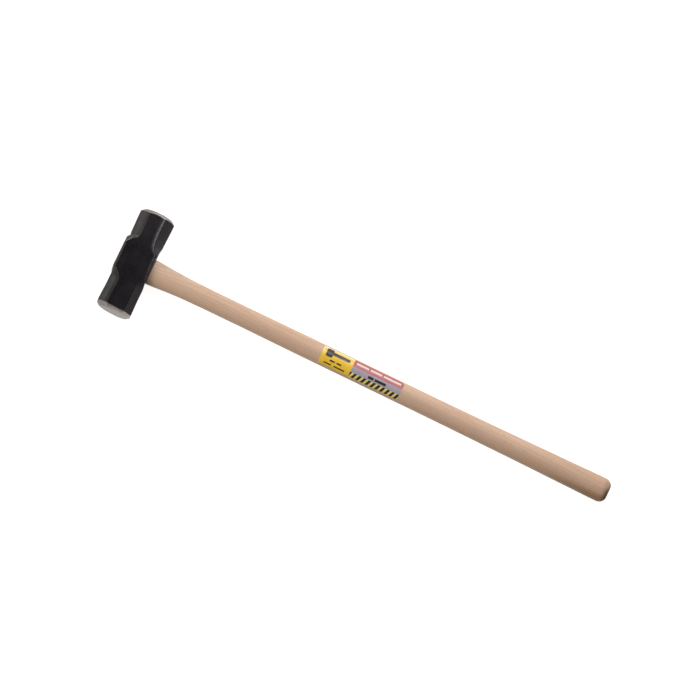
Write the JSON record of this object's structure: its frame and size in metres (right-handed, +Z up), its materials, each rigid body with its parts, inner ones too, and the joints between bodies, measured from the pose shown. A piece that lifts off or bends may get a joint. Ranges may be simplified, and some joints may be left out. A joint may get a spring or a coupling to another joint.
{
  "type": "sledge hammer",
  "caption": "Long-handled, double-faced sledge hammer: black forged octagonal head with ground bare faces, wedged on a straight pale wooden handle with a printed label.",
  "frame": {"origin": "middle of the hammer's box, on the floor that it lies on", "axes": "the hammer lies on a cheek: +X runs along the handle towards the butt, +Y along the head, +Z up. The handle dips 0.84 degrees towards the butt, because a cheek edge of the head and the butt both touch the floor"},
  "size_m": [0.914, 0.1848, 0.0614],
  "materials": {
    "black_paint": "satin black paint on forged steel, with the striking faces ground bare",
    "pale_wood": "sanded, pale pinkish tan, with a light clear finish",
    "wedge_wood": "raw end grain",
    "wedge_steel": "bare",
    "printed_vinyl": "printed, semi-gloss"
  },
  "bodies": {
    "root": {"head": "black_paint", "handle": "pale_wood", "wood_wedge": "wedge_wood", "steel_wedge_1": "wedge_steel", "steel_wedge_2": "wedge_steel", "label": "printed_vinyl"}
  },
  "joints": []
}
